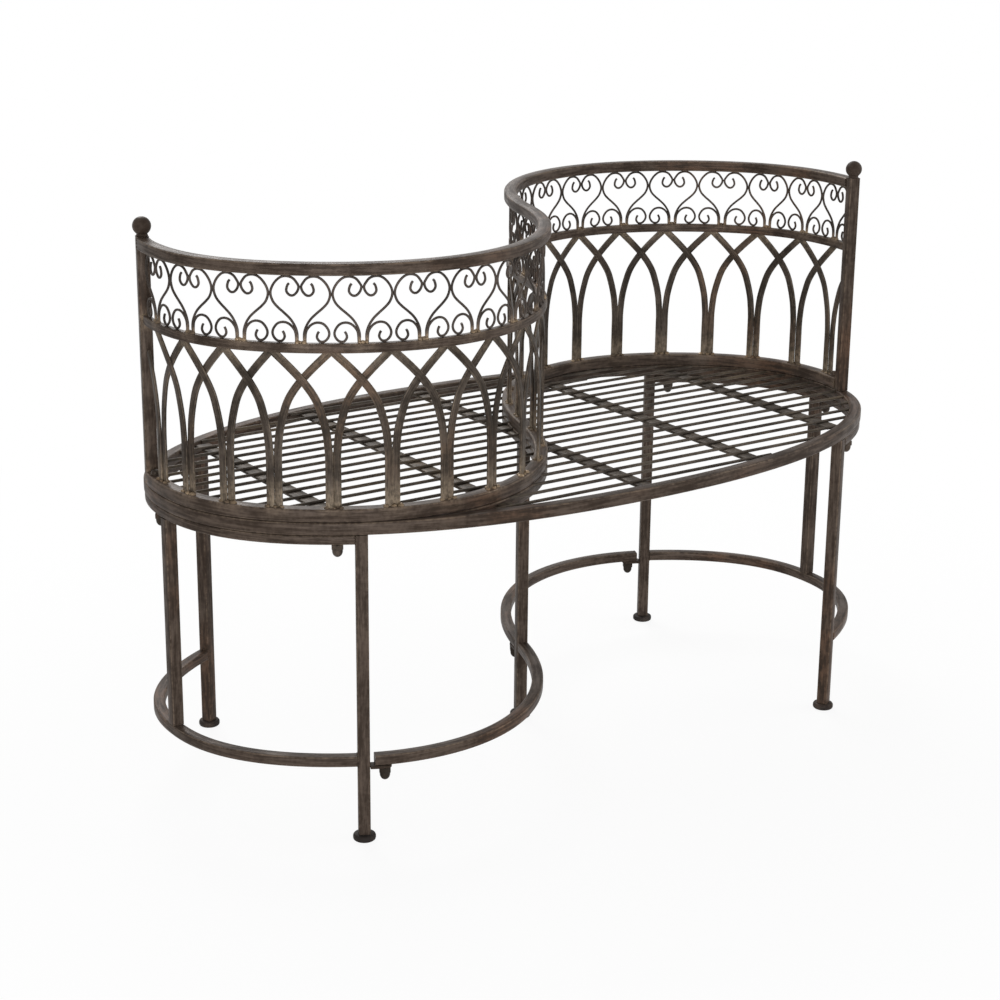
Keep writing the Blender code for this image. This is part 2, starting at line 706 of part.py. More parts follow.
bolt_profile = [
    (BOLT_RADIUS, 0.0), (BOLT_RADIUS, BOLT_HEIGHT * 0.40), (BOLT_RADIUS * 0.77, BOLT_HEIGHT * 0.79),
    (BOLT_RADIUS * 0.34, BOLT_HEIGHT * 0.97), (0.0, BOLT_HEIGHT),
]
bolt_at = BACK.at(HALF_LENGTH - BOLT_FROM_POST)
bolt_at.z = BOTTOM_RAIL_Z + BOTTOM_RAIL_HEIGHT / 2 + GAP
turned(lathe("left_rail_bolt", bolt_at, bolt_profile, 10, FASTENER_METAL), "right_rail_bolt")
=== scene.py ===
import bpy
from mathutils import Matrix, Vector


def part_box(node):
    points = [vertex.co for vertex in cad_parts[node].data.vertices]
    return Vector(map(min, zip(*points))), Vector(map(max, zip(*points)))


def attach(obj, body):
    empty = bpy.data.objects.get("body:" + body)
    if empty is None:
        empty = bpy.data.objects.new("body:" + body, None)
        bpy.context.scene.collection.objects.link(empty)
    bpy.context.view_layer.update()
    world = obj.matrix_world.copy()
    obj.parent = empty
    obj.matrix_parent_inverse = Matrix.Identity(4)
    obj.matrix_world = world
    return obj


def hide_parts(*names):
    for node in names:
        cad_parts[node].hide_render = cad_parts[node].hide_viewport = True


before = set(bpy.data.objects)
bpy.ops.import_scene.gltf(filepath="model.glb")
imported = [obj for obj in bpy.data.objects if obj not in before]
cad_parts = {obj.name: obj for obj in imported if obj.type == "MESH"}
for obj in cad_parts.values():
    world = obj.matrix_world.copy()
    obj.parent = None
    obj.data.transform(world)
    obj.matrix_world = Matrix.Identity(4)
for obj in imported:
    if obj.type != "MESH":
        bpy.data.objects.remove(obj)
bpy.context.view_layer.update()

import math
import random
import bmesh
import bpy
import numpy as np
from mathutils import Matrix, Vector

print("frame loaded,", len(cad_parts), "nodes")

# Plan of the bench: a long oval seat with an S back that follows it at both ends
plan = {
    "halfLength": 0.5575,
    "halfDepth": 0.2985,
    "power": 2.2,
    "turnX": -0.424,
    "turnStart": 0.192,
    "turnEnd": 0.233,
    "turnAngle": math.radians(74.0),
    "postY": 0.064,
    "legX": -0.400,
    "nudge": 0.0005,  # step over which the oval's slope is read where the turn starts
    "feel": 0.0015,  # half the step over which a curve's direction is read
    "joinGap": 0.0004,  # keeps the turn and the oval from sharing a point
    "turnPoints": 500,
    "endPoints": 4000,
    "ovalPoints": 6001,
}


class PlanCurve:
    # a curve in plan, read by the distance along it
    def __init__(self, points):
        self.points = np.array(points, float)
        steps = np.linalg.norm(np.diff(self.points, axis=0), axis=1)
        self.along = np.concatenate([[0.0], np.cumsum(steps)])
        self.length = float(self.along[-1])

    def at(self, distance, z=0.0):
        x = np.interp(distance, self.along, self.points[:, 0])
        y = np.interp(distance, self.along, self.points[:, 1])
        return Vector((x, y, z))

    def tangent(self, distance):
        back = max(distance - plan["feel"], 0.0)
        ahead = min(distance + plan["feel"], self.length)
        return (self.at(ahead) - self.at(back)).normalized()

    def side(self, distance):
        tangent = self.tangent(distance)
        return Vector((tangent.y, -tangent.x, 0.0))

    def nearest(self, x, y):
        gaps = np.hypot(self.points[:, 0] - x, self.points[:, 1] - y)
        return float(self.along[gaps.argmin()])


def ovalY(x):
    return plan["halfDepth"] * (1 - abs(x / plan["halfLength"]) ** plan["power"]) ** (1 / plan["power"])


def ovalPoints(start, stop, count):
    found = []
    for angle in np.linspace(start, stop, count):
        c, s = math.cos(angle), math.sin(angle)
        found.append((
            plan["halfLength"] * math.copysign(abs(c) ** (2 / plan["power"]), c),
            plan["halfDepth"] * math.copysign(abs(s) ** (2 / plan["power"]), s),
        ))
    return found


def halfBack():
    # from the centre out along the turn, then along the oval to the left post
    x = plan["turnX"]
    start = Vector((x, -ovalY(x)))
    before = x - plan["nudge"]
    startWay = (start - Vector((before, -ovalY(before)))).normalized()
    endWay = Vector((math.cos(plan["turnAngle"]), math.sin(plan["turnAngle"])))
    one = start + startWay * plan["turnStart"]
    two = -endWay * plan["turnEnd"]
    found = []
    for t in np.linspace(1.0, 0.0, plan["turnPoints"]):
        point = start * (1 - t) ** 3 + one * (3 * (1 - t) ** 2 * t) + two * (3 * (1 - t) * t ** 2)
        found.append((point.x, point.y))
    for px, py in ovalPoints(math.pi * 1.5, math.pi * 0.5, plan["endPoints"]):
        if px < x - plan["joinGap"] and py < plan["postY"]:
            found.append((px, py))
    return found


half = halfBack()
backCurve = PlanCurve(half[::-1] + [(-x, -y) for x, y in half[1:]])  # left post to right post
ovalCurve = PlanCurve(ovalPoints(math.pi * 0.5, math.pi * 2.5, plan["ovalPoints"]))
middle = backCurve.length / 2

# Heights are read from the frame, so that every piece sits where its solid does
levels = {}
for label, node in (
    ("topRail", "left_top_rail"), ("midRail", "left_mid_rail"), ("bottomRail", "left_bottom_rail"),
    ("ring", "seat_ring"), ("arc", "left_end_frame_arc"), ("stretcher", "left_end_stretcher"),
    ("post", "left_post"), ("endLeg", "left_end_leg"), ("leg", "left_near_leg"), ("centreLeg", "centre_leg"),
):
    low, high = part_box(node)
    levels[label] = (low.z, high.z)


def midZ(label):
    return (levels[label][0] + levels[label][1]) / 2


def addToScene(name, data):
    made = bpy.data.objects.new(name, data)
    bpy.context.scene.collection.objects.link(made)
    return made


# Camera at the photograph's viewing angle
cameraSettings = {
    "location": (-1.7066, -2.4355, 1.2811),
    "yaw": math.radians(-34.3851),
    "pitch": math.radians(17.6363),
    "roll": math.radians(0.5677),
    "lens": 78.151,
    "sensor": 36.0,
    "sight": 50.0,
}


def makeCamera():
    yaw, pitch, roll = cameraSettings["yaw"], cameraSettings["pitch"], cameraSettings["roll"]
    ahead = Vector((-math.sin(yaw) * math.cos(pitch), math.cos(yaw) * math.cos(pitch), -math.sin(pitch)))
    right = Vector((math.cos(yaw), math.sin(yaw), 0.0))
    up = right.cross(ahead)
    turnedRight = right * math.cos(roll) + up * math.sin(roll)
    turnedUp = up * math.cos(roll) - right * math.sin(roll)
    data = bpy.data.cameras.new("photoCamera")
    data.sensor_width = cameraSettings["sensor"]
    data.sensor_fit = "HORIZONTAL"
    data.lens = cameraSettings["lens"]
    data.clip_end = cameraSettings["sight"]
    camera = addToScene("photoCamera", data)
    turn = Matrix((turnedRight, turnedUp, -ahead)).transposed().to_4x4()
    camera.matrix_world = Matrix.Translation(cameraSettings["location"]) @ turn
    bpy.context.scene.camera = camera


makeCamera()
print("camera set")


# Node helpers
def fill(tree, node, sockets):
    # each value is another node's socket or a plain setting
    for key, value in sockets.items():
        if isinstance(value, bpy.types.NodeSocket):
            tree.links.new(value, node.inputs[key])
        else:
            node.inputs[key].default_value = value


def put(tree, kind, settings=None, sockets=None):
    node = tree.nodes.new(kind)
    for key, value in (settings or {}).items():
        setattr(node, key, value)
    fill(tree, node, sockets or {})
    return node


def geo(tree, kind, settings=None, sockets=None):
    return put(tree, "GeometryNode" + kind, settings, sockets).outputs[0]


def calc(tree, operation, *values):
    sockets = dict(enumerate(values))
    return put(tree, "ShaderNodeMath", {"operation": operation}, sockets).outputs[0]


def times(tree, one, two):
    return calc(tree, "MULTIPLY", one, two)


def plus(tree, one, two):
    return calc(tree, "ADD", one, two)


def ramp(tree, value, low, high, start=0.0, stop=1.0):
    # a soft step from start to stop while the value goes from low to high
    sockets = {"Value": value, "From Min": low, "From Max": high, "To Min": start, "To Max": stop}
    return put(tree, "ShaderNodeMapRange", {"interpolation_type": "SMOOTHSTEP"}, sockets).outputs[0]


def newTree(name, kind, inputs, outputs):
    tree = bpy.data.node_groups.new(name, kind)
    for way, sockets in (("INPUT", inputs), ("OUTPUT", outputs)):
        for label, form in sockets:
            tree.interface.new_socket(name=label, in_out=way, socket_type="NodeSocket" + form)
    return tree, put(tree, "NodeGroupInput").outputs, put(tree, "NodeGroupOutput").inputs


def geometryTree(name, *inputs):
    # every one of these trees also marks what is near a weld and sets the metal
    shape = ("Geometry", "Geometry")
    shared = (("Welds", "Object"), ("Weld Reach", "Float"), ("Metal", "Material"))
    return newTree(name, "GeometryNodeTree", (shape, *inputs, *shared), (shape,))


def namedVector(tree, name):
    return geo(tree, "InputNamedAttribute", {"data_type": "FLOAT_VECTOR"}, {"Name": name})


def store(tree, geometry, name, value, kind="FLOAT"):
    return geo(tree, "StoreNamedAttribute", {"data_type": kind, "domain": "POINT"},
               {"Geometry": geometry, "Name": name, "Value": value})


crispAngle = 0.7  # an edge that turns by more, in radians, stays sharp
axisSlack = 0.001  # points of a section this near an axis stay on it


def dressMesh(tree, mesh, start, end):
    # marks what is near a weld, sets the shading and the metal, and closes the tree
    spots = put(tree, "GeometryNodeObjectInfo", None, {"Object": start["Welds"]}).outputs["Geometry"]
    near = put(tree, "GeometryNodeProximity", {"target_element": "POINTS"}, {0: spots}).outputs["Distance"]
    mesh = store(tree, mesh, "weld", ramp(tree, near, 0.0, start["Weld Reach"], 1.0, 0.0))
    mesh = geo(tree, "SetShadeSmooth", None, {"Geometry": mesh})
    angle = geo(tree, "InputMeshEdgeAngle")
    crisp = calc(tree, "GREATER_THAN", angle, crispAngle)
    mesh = geo(tree, "SetShadeSmooth", {"domain": "EDGE"},
               {"Geometry": mesh, "Selection": crisp, "Shade Smooth": False})
    mesh = geo(tree, "SetMaterial", None, {"Geometry": mesh, "Material": start["Metal"]})
    tree.links.new(mesh, end[0])


def markedCurve(tree, start):
    # the object's lines as curves that know the distance along them
    curve = geo(tree, "MeshToCurve", None, {"Mesh": start["Geometry"]})
    length = put(tree, "GeometryNodeSplineParameter").outputs["Length"]
    return store(tree, curve, "along", length)


def ringCurve(tree, points, radius):
    return geo(tree, "CurvePrimitiveCircle", None, {"Resolution": points, "Radius": radius})


def sweepRing(tree, curve, ring):
    return geo(tree, "CurveToMesh", None, {"Curve": curve, "Profile Curve": ring, "Fill Caps": True})


def makeBarTree():
    # a bar with rounded corners along marked lines; "side" on each point turns its width
    tree, start, end = geometryTree(
        "sweptBar", ("Width", "Float"), ("Height", "Float"), ("Corner", "Float"), ("Points", "Int"))
    curve = geo(tree, "SetCurveNormal", {"mode": "FREE"},
                {"Curve": markedCurve(tree, start), "Normal": namedVector(tree, "side")})
    ring = ringCurve(tree, start["Points"], 1.0)
    place = geo(tree, "InputPosition")
    ring = store(tree, ring, "round", place, "FLOAT_VECTOR")
    split = put(tree, "ShaderNodeSeparateXYZ", None, {0: place}).outputs
    corner = calc(tree, "ABSOLUTE", times(tree, times(tree, split[0], split[1]), 2.0))
    ring = store(tree, ring, "edge", corner)
    moved = []
    for axis, size in ((0, "Width"), (1, "Height")):
        inner = calc(tree, "SUBTRACT", times(tree, start[size], 0.5), start["Corner"])
        snapped = calc(tree, "SNAP", plus(tree, split[axis], axisSlack / 2), axisSlack)
        shift = times(tree, calc(tree, "SIGN", snapped), inner)
        moved.append(plus(tree, shift, times(tree, split[axis], start["Corner"])))
    target = put(tree, "ShaderNodeCombineXYZ", None, {0: moved[0], 1: moved[1]}).outputs[0]
    ring = geo(tree, "SetPosition", None, {"Geometry": ring, "Position": target})
    dressMesh(tree, sweepRing(tree, curve, ring), start, end)
    return tree


def makeWireTree():
    # a round wire on a smooth curve through marked points
    tree, start, end = geometryTree("roundWire", ("Radius", "Float"), ("Sides", "Int"), ("Steps", "Int"))
    curve = geo(tree, "CurveSplineType", {"spline_type": "CATMULL_ROM"},
                {"Curve": markedCurve(tree, start)})
    curve = geo(tree, "SetSplineResolution", None, {"Geometry": curve, "Resolution": start["Steps"]})
    ring = ringCurve(tree, start["Sides"], start["Radius"])
    place = geo(tree, "InputPosition")
    scaled = put(tree, "ShaderNodeVectorMath", {"operation": "NORMALIZE"}, {0: place}).outputs[0]
    ring = store(tree, ring, "round", scaled, "FLOAT_VECTOR")
    dressMesh(tree, sweepRing(tree, curve, ring), start, end)
    return tree


def makeRepeatTree():
    # one small part set out at marked points, each with its own turn and size
    tree, start, end = geometryTree("setOut", ("Part", "Object"))
    part = put(tree, "GeometryNodeObjectInfo", None, {"Object": start["Part"]}).outputs["Geometry"]
    turn = put(tree, "FunctionNodeEulerToRotation", None, {0: namedVector(tree, "turn")}).outputs[0]
    points = geo(tree, "MeshToPoints", None, {"Mesh": start["Geometry"]})
    placed = geo(tree, "InstanceOnPoints", None, {
        "Points": points, "Instance": part, "Rotation": turn,
        "Scale": namedVector(tree, "grow")})
    mesh = geo(tree, "RealizeInstances", None, {"Geometry": placed})
    dressMesh(tree, mesh, start, end)
    return tree


barTree = makeBarTree()
wireTree = makeWireTree()
repeatTree = makeRepeatTree()
print("geometry trees built")


# Finishes: aged brown lacquer over steel, rubbed paler on edges and around welds
def mixColour(tree, share, one, two):
    return put(tree, "ShaderNodeMix", {"data_type": "RGBA"}, {0: share, 6: one, 7: two}).outputs[2]


def noise(tree, vector, scale, detail, roughness):
    sockets = {"Vector": vector, "Scale": scale, "Detail": detail, "Roughness": roughness}
    return put(tree, "ShaderNodeTexNoise", None, sockets).outputs[0]


lacquer = {
    "lane": 2.6,  # how fast the streaks change across a bar
    "along": 9.0,  # and along it
    "shift": (3.0, 3.0, 3.0),  # keeps two bars from showing the same streaks
    "streak": (2.2, 5.0, 0.65),  # scale, detail and roughness of each noise
    "drip": (6.5, 4.0, 0.65),
    "blotch": (16.0, 5.0, 0.65),
    "cloud": (7.0, 3.0, 0.5),
    "fine": (170.0, 3.0, 0.6),
    "speckle": 0.18,
    "grain": 0.4,  # share of the fine noise where the finish is rubbed
    "rustStep": (0.50, 0.66),  # where one tint gives way to the next
    "tintStep": (0.40, 0.62),
    "patchStep": (0.40, 0.64),
    "dripStep": (0.40, 0.60),
    "edgeStep": (0.5, 1.0),
    "weldTint": 0.2,  # rub around a weld where nothing drips
    "fineDull": 0.28,
    "bodyDull": -0.75,
    "fineHeight": 0.5,
    "blotchHeight": 0.8,
    "specular": 0.06,
    "bumpDistance": 0.001,
}


def swing(tree, value, amount):
    # a noise taken about its middle
    return times(tree, calc(tree, "SUBTRACT", value, 0.5), amount)


def grained(tree, value, fine):
    share = lacquer["grain"]
    return plus(tree, times(tree, value, 1.0 - share), times(tree, fine, share))


def makeAgedGroup():
    tree, start, end = newTree(
        "agedLacquer", "ShaderNodeTree",
        (("Dark", "Color"), ("Warm", "Color"), ("Rust", "Color"), ("Pale", "Color"), ("Edge Rub", "Float"),
         ("Weld Rub", "Float"), ("Streak", "Float"), ("Dull", "Float")),
        (("Color", "Color"), ("Roughness", "Float"), ("Height", "Float")))
    spot = put(tree, "ShaderNodeTexCoord").outputs["Object"]
    read = {}
    for label in ("along", "round", "edge", "weld"):
        read[label] = put(tree, "ShaderNodeAttribute", {"attribute_name": label}).outputs
    along, edge, weld = [read[label]["Fac"] for label in ("along", "edge", "weld")]
    around = read["round"]["Vector"]
    # long streaks left by the brush, which follow the bar
    turn = put(tree, "ShaderNodeSeparateXYZ", None, {0: around}).outputs
    lane = put(tree, "ShaderNodeCombineXYZ", None, {
        0: times(tree, turn[0], lacquer["lane"]), 1: times(tree, turn[1], lacquer["lane"]),
        2: times(tree, along, lacquer["along"])}).outputs[0]
    shifted = put(tree, "ShaderNodeVectorMath", {"operation": "MULTIPLY_ADD"},
                  {0: spot, 1: lacquer["shift"], 2: lane}).outputs[0]
    streak = noise(tree, shifted, *lacquer["streak"])
    drip = noise(tree, shifted, *lacquer["drip"])
    blotch = noise(tree, spot, *lacquer["blotch"])
    cloud = noise(tree, spot, *lacquer["cloud"])
    fine = noise(tree, spot, *lacquer["fine"])
    rest = calc(tree, "SUBTRACT", 1.0, start["Streak"])
    body = plus(tree, times(tree, streak, start["Streak"]), times(tree, blotch, rest))
    body = plus(tree, body, swing(tree, fine, lacquer["speckle"]))
    warm = mixColour(tree, ramp(tree, cloud, *lacquer["rustStep"]), start["Warm"], start["Rust"])
    tint = mixColour(tree, ramp(tree, body, *lacquer["tintStep"]), start["Dark"], warm)
    # rubbed paler along edges and where a weld's heat ran down
    patchy = ramp(tree, grained(tree, blotch, fine), *lacquer["patchStep"])
    dripping = ramp(tree, grained(tree, drip, fine), *lacquer["dripStep"])
    worn = times(tree, ramp(tree, edge, *lacquer["edgeStep"]), patchy)
    heated = times(tree, weld, plus(tree, dripping, lacquer["weldTint"]))
    rub = plus(tree, times(tree, worn, start["Edge Rub"]), times(tree, heated, start["Weld Rub"]))
    rub = calc(tree, "MINIMUM", rub, 1.0)
    tree.links.new(mixColour(tree, rub, tint, start["Pale"]), end["Color"])
    rough = plus(tree, start["Dull"], swing(tree, fine, lacquer["fineDull"]))
    tree.links.new(plus(tree, rough, swing(tree, body, lacquer["bodyDull"])), end["Roughness"])
    raised = times(tree, fine, lacquer["fineHeight"])
    tree.links.new(plus(tree, raised, times(tree, blotch, lacquer["blotchHeight"])), end["Height"])
    return tree


agedGroup = makeAgedGroup()
finishes = {
    "barBrown": {
        "dark": (0.034, 0.024, 0.018), "warm": (0.088, 0.066, 0.052),
        "rust": (0.106, 0.064, 0.043), "pale": (0.240, 0.180, 0.130),
        "edgeRub": 0.45, "weldRub": 0.40, "streak": 0.62, "dull": 0.44, "metal": 0.12, "bump": 0.12,
    },
    "stripBrown": {
        "dark": (0.029, 0.023, 0.018), "warm": (0.083, 0.066, 0.053),
        "rust": (0.105, 0.070, 0.048), "pale": (0.265, 0.208, 0.148),
        "edgeRub": 0.55, "weldRub": 0.68, "streak": 0.5, "dull": 0.46, "metal": 0.20, "bump": 0.12,
    },
    "scrollBrown": {
        "dark": (0.034, 0.028, 0.024), "warm": (0.080, 0.064, 0.054),
        "rust": (0.092, 0.062, 0.046), "pale": (0.280, 0.205, 0.140),
        "edgeRub": 0.0, "weldRub": 0.90, "streak": 0.4, "dull": 0.46, "metal": 0.30, "bump": 0.08,
    },
    "seatBrown": {
        "dark": (0.040, 0.033, 0.027), "warm": (0.110, 0.090, 0.072),
        "rust": (0.115, 0.088, 0.060), "pale": (0.210, 0.170, 0.125),
        "edgeRub": 0.35, "weldRub": 0.30, "streak": 0.45, "dull": 0.50, "metal": 0.15, "bump": 0.12,
    },
    "beadBronze": {
        "dark": (0.070, 0.050, 0.036), "warm": (0.215, 0.155, 0.100),
        "rust": (0.190, 0.115, 0.066), "pale": (0.340, 0.260, 0.175),
        "edgeRub": 0.0, "weldRub": 0.40, "streak": 0.0, "dull": 0.46, "metal": 0.35, "bump": 0.20,
    },
    "fastenerDark": {
        "dark": (0.030, 0.024, 0.019), "warm": (0.084, 0.066, 0.053),
        "rust": (0.090, 0.058, 0.040), "pale": (0.180, 0.140, 0.105),
        "edgeRub": 0.4, "weldRub": 0.2, "streak": 0.0, "dull": 0.40, "metal": 0.45, "bump": 0.08,
    },
    "footDark": {
        "dark": (0.024, 0.020, 0.018), "warm": (0.058, 0.047, 0.040),
        "rust": (0.066, 0.046, 0.034), "pale": (0.150, 0.120, 0.090),
        "edgeRub": 0.4, "weldRub": 0.2, "streak": 0.0, "dull": 0.52, "metal": 0.15, "bump": 0.10,
    },
}


def newMaterial(name):
    made = bpy.data.materials.new(name)
    made.use_nodes = True
    return made, made.node_tree, made.node_tree.nodes["Principled BSDF"]


def makeFinish(name):
    values = finishes[name]
    made, tree, shader = newMaterial(name)
    inputs = {label.capitalize(): (*values[label], 1.0) for label in ("dark", "warm", "rust", "pale")}
    inputs.update({"Edge Rub": values["edgeRub"], "Weld Rub": values["weldRub"],
                   "Streak": values["streak"], "Dull": values["dull"]})
    aged = put(tree, "ShaderNodeGroup", {"node_tree": agedGroup}, inputs).outputs
    bump = put(tree, "ShaderNodeBump", None, {
        "Strength": values["bump"], "Distance": lacquer["bumpDistance"], "Height": aged["Height"]})
    fill(tree, shader, {
        "Base Color": aged["Color"], "Roughness": aged["Roughness"], "Metallic": values["metal"],
        "Specular IOR Level": lacquer["specular"], "Normal": bump.outputs[0]})
    return made


metals = {name: makeFinish(name) for name in finishes}
print("finishes built")


# Marked lines and points that the trees work on
def markPoints(data, label, vectors):
    mark = data.attributes.new(label, "FLOAT_VECTOR", "POINT")
    mark.data.foreach_set("vector", np.array([tuple(v) for v in vectors], np.float32).ravel())


def lineObject(name, runs):
    # runs are (points, sides, closed); each becomes one line with its own "side" directions
    data = bpy.data.meshes.new(name)
    places, edges, sides = [], [], []
    for points, turns, closed in runs:
        first = len(places)
        places.extend(tuple(p) for p in points)
        sides.extend(turns)
        edges.extend((i, i + 1) for i in range(first, len(places) - 1))
        if closed:
            edges.append((len(places) - 1, first))
    data.from_pydata(places, edges, [])
    markPoints(data, "side", sides)
    return addToScene(name, data)


def pointObject(name, spots):
    # spots are (place, turn, size)
    data = bpy.data.meshes.new(name)
    data.from_pydata([tuple(s[0]) for s in spots], [], [])
    markPoints(data, "turn", [s[1] for s in spots])
    markPoints(data, "grow", [s[2] for s in spots])
    return addToScene(name, data)


def runTree(made, tree, metal, reach, values):
    # runs a tree on an object and keeps the result as a plain mesh
    values = {**values, "Welds": weldMarks, "Weld Reach": reach, "Metal": metals[metal]}
    modifier = made.modifiers.new(tree.name, "NODES")
    modifier.node_group = tree
    for item in tree.interface.items_tree:
        if item.in_out == "INPUT" and item.name in values:
            modifier[item.identifier] = values[item.name]
    bpy.context.view_layer.update()
    graph = bpy.context.evaluated_depsgraph_get()
    data = bpy.data.meshes.new_from_object(made.evaluated_get(graph), depsgraph=graph)
    made.modifiers.remove(modifier)
    old = made.data
    made.data = data
    data.name = made.name
    bpy.data.meshes.remove(old)
    return made


def settle(piece, slotName, *nodes):
    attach(piece, "root")
    if nodes:
        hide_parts(*nodes)


weldSpots = {"bronze": [], "plain": []}  # (place, outward direction, radius, flatness)


def markWeld(kind, place, out, radius, flat=0.6):
    weldSpots[kind].append((Vector(place), Vector(out).normalized(), radius, flat))


up = Vector((0.0, 0.0, 1.0))


def curveRun(curve, start, stop, z, count, closed=False):
    places = np.linspace(start, stop, count, endpoint=not closed)
    return [curve.at(s, z) for s in places], [curve.side(s) for s in places], closed


def uprightRun(curve, distance, low, high, count):
    place, side = curve.at(distance), curve.side(distance)
    points = [Vector((place.x, place.y, z)) for z in np.linspace(low, high, count)]
    return points, [side] * count, False


# Bars: width, height and corner of each section
barSizes = {
    "topRail": (0.018, 0.015, 0.0034),
    "midRail": (0.010, 0.012, 0.0020),
    "bottomRail": (0.018, 0.017, 0.0028),
    "ring": (0.018, 0.017, 0.0030),
    "divider": (0.018, 0.0166, 0.0030),
    "post": (0.016, 0.016, 0.0022),
    "leg": (0.016, 0.016, 0.0022),
    "arc": (0.016, 0.012, 0.0022),
    "stretcher": (0.016, 0.014, 0.0024),
    "strip": (0.003, 0.010, 0.0009),
    "strap": (0.022, 0.004, 0.0010),
}
bars = {name: dict(zip(("width", "height", "corner"), sizes)) for name, sizes in barSizes.items()}
gap = 0.0003
stretcherEndGap = 0.006
dividerReach = 0.413  # from the middle to where the bar under the S runs into the ring
legHalf = bars["leg"]["width"] / 2
postClear = bars["post"]["width"] / 2 + gap

# Frieze: each heart is two mirrored wires with a lower curl beside each
frieze = {
    "start": 0.0085,
    "pitch": 0.0755,
    "widePitch": 0.0782,
    "wireRadius": 0.0016,
    "sides": 10,
    "steps": 4,
    "weldReach": 0.012,
    "touch": 0.98,  # share of the wire's radius at which two wires meet
    "topWeld": 0.23,  # share of a heart's width from its middle
    "curlWeld": 0.35,
    "scrollWeld": 0.84,  # share of the height
    "sideWeld": 0.715,
    "contactBeads": (0.0017, 0.0013, 0.0014),  # at the rails, between the scrolls, between hearts
    "railLap": 0.8,  # shares of the wire's radius
    "footLap": 0.6,
    "footFlat": 0.9,
    "footBeads": (  # along the rail, out from it, radius
        (-0.0046, 0.0010, 0.0028), (0.0044, 0.0012, 0.0030), (-0.0006, 0.0006, 0.0030),
        (0.0030, -0.0012, 0.0026), (-0.0036, -0.0012, 0.0026),
    ),
    "heart": [
        (0.050, -0.03), (0.046, 0.115), (0.085, 0.235), (0.162, 0.345), (0.265, 0.435), (0.375, 0.52),
        (0.458, 0.605), (0.500, 0.715), (0.480, 0.815), (0.410, 0.915), (0.313, 0.985), (0.208, 1.00),
        (0.107, 0.970), (0.040, 0.900), (0.010, 0.840), (0.037, 0.765), (0.102, 0.710), (0.173, 0.715),
        (0.222, 0.775), (0.205, 0.855), (0.175, 0.890),
    ],
    "curl": [
        (0.064, -0.03), (0.076, 0.135), (0.130, 0.225), (0.209, 0.280), (0.298, 0.295), (0.386, 0.270),
        (0.453, 0.200), (0.478, 0.125), (0.453, 0.055), (0.390, 0.005), (0.315, 0.005), (0.268, 0.060),
        (0.275, 0.115), (0.300, 0.155),
    ],
}


def friezeEnds():
    ends = [postClear + frieze["start"]]
    stop = backCurve.length - postClear
    for k in range(round((middle - ends[0]) / frieze["pitch"])):
        ends.append(ends[-1] + frieze["pitch"])
    for k in range(int((stop - ends[-1]) / frieze["widePitch"] - 2)):
        ends.append(ends[-1] + frieze["widePitch"])
    # the last three hearts share what is left
    ends.extend(np.linspace(ends[-1], stop, 4)[1:])
    return ends


def friezeRuns():
    radius, touch = frieze["wireRadius"], frieze["touch"]
    bottom = levels["midRail"][1] + gap + radius
    height = levels["topRail"][0] - gap - radius - bottom
    inmost = min(u for u, v in frieze["heart"])
    widest = max(u for u, v in frieze["heart"])
    atRail, atScroll, atSide = frieze["contactBeads"]
    runs = []
    ends = friezeEnds()

    def onBack(s, v):
        return backCurve.at(s, bottom + v * height)

    for left, right in zip(ends, ends[1:]):
        base, width = (left + right) / 2, right - left
        # its sides touch the next heart, and its inner scrolls touch each other
        stretch = (width / 2 - radius * touch * 2) / (widest - inmost)
        for way in (1, -1):
            for line in (frieze["heart"], frieze["curl"]):
                points = []
                for u, v in line:
                    inward = radius * touch + (u - inmost) * stretch
                    points.append(onBack(base + way * inward, v))
                runs.append((points, [up] * len(points), False))
            top = onBack(base + way * frieze["topWeld"] * width, 1.0)
            markWeld("plain", top + up * radius * frieze["railLap"], up, atRail)
            low = onBack(base + way * frieze["curlWeld"] * width, 0.0)
            markWeld("plain", low - up * radius * frieze["railLap"], up, atRail)
        side, tangent = backCurve.side(base), backCurve.tangent(base)
        markWeld("plain", onBack(base, frieze["scrollWeld"]), side, atScroll)
        foot = onBack(base, 0.0) - up * radius * frieze["footLap"]
        for across, out, size in frieze["footBeads"]:
            markWeld("bronze", foot + tangent * across + side * out, up, size, frieze["footFlat"])
    for place in ends[1:-1]:
        markWeld("plain", onBack(place, frieze["sideWeld"]), backCurve.side(place), atSide)
    return runs


# Lattice: flat strips that rise in pairs and cross their neighbours
lattice = {
    "start": 0.054,
    "end": 0.0405,
    "closePitch": 0.0635,
    "closeCount": 3,
    "pitch": 0.0735,
    "slit": -0.0001,
    "lap": 0.0003,
    "postShare": 0.55,  # of a strip's width, kept clear of a post
    "lineSteps": 4,
    "weldReach": 0.044,
    "footFlat": 0.75,
    "footBeads": (  # shares of the strip's width along the rail, out from it, radius
        (-0.9, 0.0024, 0.0036), (0.1, 0.0030, 0.0034), (0.95, 0.0024, 0.0038),
        (-0.5, -0.0028, 0.0034), (0.55, -0.0028, 0.0036),
    ),
    "line": [
        (0.00, -0.01), (0.00, 0.11), (0.00, 0.22), (0.00, 0.33), (0.018, 0.42), (0.047, 0.50), (0.115, 0.60),
        (0.215, 0.70), (0.40, 0.80), (0.655, 0.90), (0.95, 1.00), (1.04, 1.03),
    ],
}


